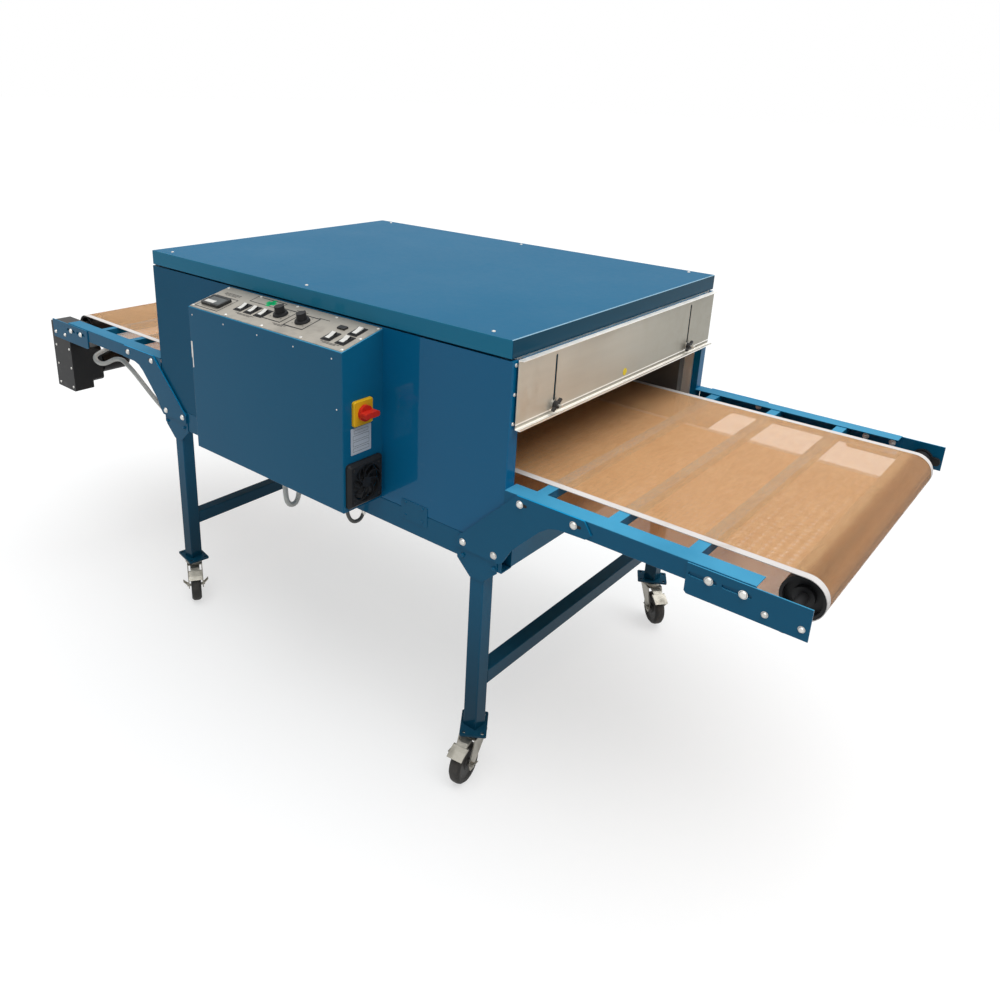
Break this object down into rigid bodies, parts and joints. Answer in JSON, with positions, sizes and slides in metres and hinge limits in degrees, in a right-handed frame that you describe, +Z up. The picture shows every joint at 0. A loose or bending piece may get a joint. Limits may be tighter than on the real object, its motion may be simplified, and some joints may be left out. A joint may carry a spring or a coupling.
{
  "type": "conveyor dryer",
  "caption": "Wheeled conveyor dryer with a heated tunnel, lifting end gates, an open mesh belt on two wings and a sloping control box.",
  "frame": {"origin": "centre of the bounding box at floor level", "axes": "+X along the belt towards the idle roller, -Y towards the control box side, +Z up"},
  "size_m": [2.577, 1.0879, 1.102],
  "materials": {
    "blue_paint": "semi-gloss powder coat",
    "belt_mesh": "coated open glass mesh",
    "belt_tape": "woven edge tape",
    "galvanised": "dull galvanised sheet",
    "dark_liner": "matt dark tunnel lining",
    "zinc": "bright zinc plate",
    "tyre_black": "hard black rubber",
    "black_paint": "satin black paint",
    "black_plastic": "fine moulded grain",
    "panel_steel": "brushed steel plate",
    "yellow_plastic": "smooth moulded",
    "red_plastic": "smooth moulded",
    "grey_conduit": "ribbed flexible conduit",
    "dark_conduit": "ribbed flexible conduit"
  },
  "bodies": {
    "machine": {"lid": "blue_paint", "side_panels": "blue_paint", "chamber_walls": "dark_liner", "chamber_roof": "dark_liner", "end_headers": "blue_paint", "bottom_pan": "galvanised", "base_frame": "blue_paint", "legs": "blue_paint", "cross_tubes": "blue_paint", "caster_plates": "blue_paint", "gusset_plates": "blue_paint", "wing_rails": "blue_paint", "end_plates": "blue_paint", "belt_slats": "blue_paint", "belt": "belt_mesh", "belt_edge_tapes": "belt_tape", "roller_bearings": "black_paint", "drive_cover": "black_paint", "gear_motor": "black_paint", "control_box": "blue_paint", "control_panel": "panel_steel", "panel_switches": "black_plastic", "isolator_plate": "yellow_plastic", "fan_frame": "black_plastic", "rail_joint_plate": "blue_paint", "gate_knobs": "black_plastic", "motor_conduit": "grey_conduit", "grey_box_conduit": "grey_conduit", "dark_box_conduit": "dark_conduit"},
    "gate_right": {"gate_right": "galvanised"},
    "gate_left": {"gate_left": "galvanised"},
    "idle_roller": {"idle_roller": "black_paint"},
    "drive_roller": {"drive_roller": "black_paint"},
    "isolator_handle": {"isolator_handle": "red_plastic"},
    "speed_knob": {"speed_knob": "black_plastic"},
    "heat_knob": {"heat_knob": "black_plastic"},
    "fan_rotor": {"fan_rotor": "black_plastic"},
    "caster_fork_front_right": {"caster_fork_front_right": "zinc"},
    "caster_wheel_front_right": {"caster_wheel_front_right": "tyre_black"},
    "caster_fork_rear_right": {"caster_fork_rear_right": "zinc"},
    "caster_wheel_rear_right": {"caster_wheel_rear_right": "tyre_black"},
    "caster_fork_rear_left": {"caster_fork_rear_left": "zinc"},
    "caster_wheel_rear_left": {"caster_wheel_rear_left": "tyre_black"},
    "caster_fork_front_left": {"caster_fork_front_left": "zinc"},
    "caster_wheel_front_left": {"caster_wheel_front_left": "tyre_black"}
  },
  "joints": [
    {"name": "gate_right_slide", "type": "slide", "parent": "machine", "child": "gate_right", "axis": [0, 0, -1], "range_m": [0, 0.108]},
    {"name": "gate_left_slide", "type": "slide", "parent": "machine", "child": "gate_left", "axis": [0, 0, -1], "range_m": [0, 0.108]},
    {"name": "idle_roller_spin", "type": "hinge", "parent": "machine", "child": "idle_roller", "pos_m": [1.2445, 0.05925, 0.7375], "axis": [0, 1, 0], "continuous": true},
    {"name": "drive_roller_spin", "type": "hinge", "parent": "machine", "child": "drive_roller", "pos_m": [-1.2205, 0.05925, 0.7375], "axis": [0, 1, 0], "continuous": true},
    {"name": "swivel_front_right", "type": "hinge", "parent": "machine", "child": "caster_fork_front_right", "pos_m": [0.5931, -0.3887, 0.115], "axis": [0, 0, 1], "continuous": true},
    {"name": "wheel_front_right", "type": "hinge", "parent": "caster_fork_front_right", "child": "caster_wheel_front_right", "pos_m": [0.59894, -0.43029, 0.05], "axis": [0.9903, 0.1392, 0], "continuous": true},
    {"name": "swivel_rear_right", "type": "hinge", "parent": "machine", "child": "caster_fork_rear_right", "pos_m": [0.5931, 0.5072, 0.115], "axis": [0, 0, 1], "continuous": true},
    {"name": "wheel_rear_right", "type": "hinge", "parent": "caster_fork_rear_right", "child": "caster_wheel_rear_right", "pos_m": [0.62551, 0.48048, 0.05], "axis": [0.6361, 0.7716, 0], "continuous": true},
    {"name": "swivel_rear_left", "type": "hinge", "parent": "machine", "child": "caster_fork_rear_left", "pos_m": [-0.5541, 0.5072, 0.115], "axis": [0, 0, 1], "continuous": true},
    {"name": "wheel_rear_left", "type": "hinge", "parent": "caster_fork_rear_left", "child": "caster_wheel_rear_left", "pos_m": [-0.53001, 0.4728, 0.05], "axis": [0.8192, 0.5736, 0], "continuous": true},
    {"name": "swivel_front_left", "type": "hinge", "parent": "machine", "child": "caster_fork_front_left", "pos_m": [-0.5541, -0.3887, 0.115], "axis": [0, 0, 1], "continuous": true},
    {"name": "wheel_front_left", "type": "hinge", "parent": "caster_fork_front_left", "child": "caster_wheel_front_left", "pos_m": [-0.51848, -0.41096, 0.05], "axis": [0.5299, 0.848, 0], "continuous": true},
    {"name": "isolator_turn", "type": "hinge", "parent": "machine", "child": "isolator_handle", "pos_m": [0.3005, -0.47475, 0.876], "axis": [1, 0, 0], "range_deg": [0, 90]},
    {"name": "speed_knob_turn", "type": "hinge", "parent": "machine", "child": "speed_knob", "pos_m": [0.0145, -0.4622, 1.04243], "axis": [0, -0.2334, 0.9724], "range_deg": [-135, 135]},
    {"name": "heat_knob_turn", "type": "hinge", "parent": "machine", "child": "heat_knob", "pos_m": [0.0965, -0.46512, 1.04173], "axis": [0, -0.2334, 0.9724], "range_deg": [-135, 135]},
    {"name": "fan_spin", "type": "hinge", "parent": "machine", "child": "fan_rotor", "pos_m": [0.3005, -0.47025, 0.705], "axis": [1, 0, 0], "continuous": true}
  ],
  "couplings": [
    {"joint": "drive_roller_spin", "follows": "idle_roller_spin", "ratio": 1}
  ]
}
